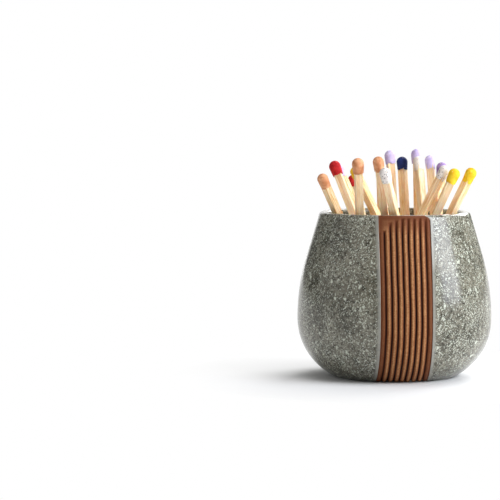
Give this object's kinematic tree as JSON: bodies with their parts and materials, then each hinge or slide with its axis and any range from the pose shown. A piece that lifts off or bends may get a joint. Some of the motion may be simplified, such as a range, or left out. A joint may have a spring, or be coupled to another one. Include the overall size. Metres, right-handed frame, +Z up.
{
  "type": "match striker",
  "caption": "Squat glazed stoneware pot with a ribbed bare-clay striking panel down its front, holding a loose fan of square wooden matches with coloured heads.",
  "frame": {"origin": "on the pot's axis, in the plane of the flat foot it stands on", "axes": "+Z up along the pot's axis out of its mouth; the ribbed striking panel faces -Y"},
  "size_m": [0.0874, 0.0872, 0.1015],
  "materials": {
    "glazed_stoneware": "semi-matt grey-green speckled glaze over brown stoneware, bare brown clay on the ribbed panel and foot",
    "splint_wood": "raw pale aspen",
    "head_peach": "peach match-head compound",
    "head_red": "red match-head compound",
    "head_lavender": "lavender match-head compound",
    "head_yellow": "yellow match-head compound",
    "head_white": "white match-head compound",
    "head_navy": "navy blue match-head compound",
    "head_mauve": "mauve match-head compound"
  },
  "bodies": {
    "root": {"pot": "glazed_stoneware", "match_01_splint": "splint_wood", "match_01_head": "head_peach", "match_02_splint": "splint_wood", "match_02_head": "head_red", "match_03_splint": "splint_wood", "match_03_head": "head_lavender", "match_04_splint": "splint_wood", "match_04_head": "head_red", "match_05_splint": "splint_wood", "match_05_head": "head_peach", "match_06_splint": "splint_wood", "match_06_head": "head_yellow", "match_07_splint": "splint_wood", "match_07_head": "head_peach", "match_08_splint": "splint_wood", "match_08_head": "head_peach", "match_09_splint": "splint_wood", "match_09_head": "head_white", "match_10_splint": "splint_wood", "match_10_head": "head_lavender", "match_11_splint": "splint_wood", "match_11_head": "head_navy", "match_12_splint": "splint_wood", "match_12_head": "head_lavender", "match_13_splint": "splint_wood", "match_13_head": "head_white", "match_14_splint": "splint_wood", "match_14_head": "head_lavender", "match_15_splint": "splint_wood", "match_15_head": "head_mauve", "match_16_splint": "splint_wood", "match_16_head": "head_white", "match_17_splint": "splint_wood", "match_17_head": "head_yellow", "match_18_splint": "splint_wood", "match_18_head": "head_yellow"}
  },
  "joints": []
}
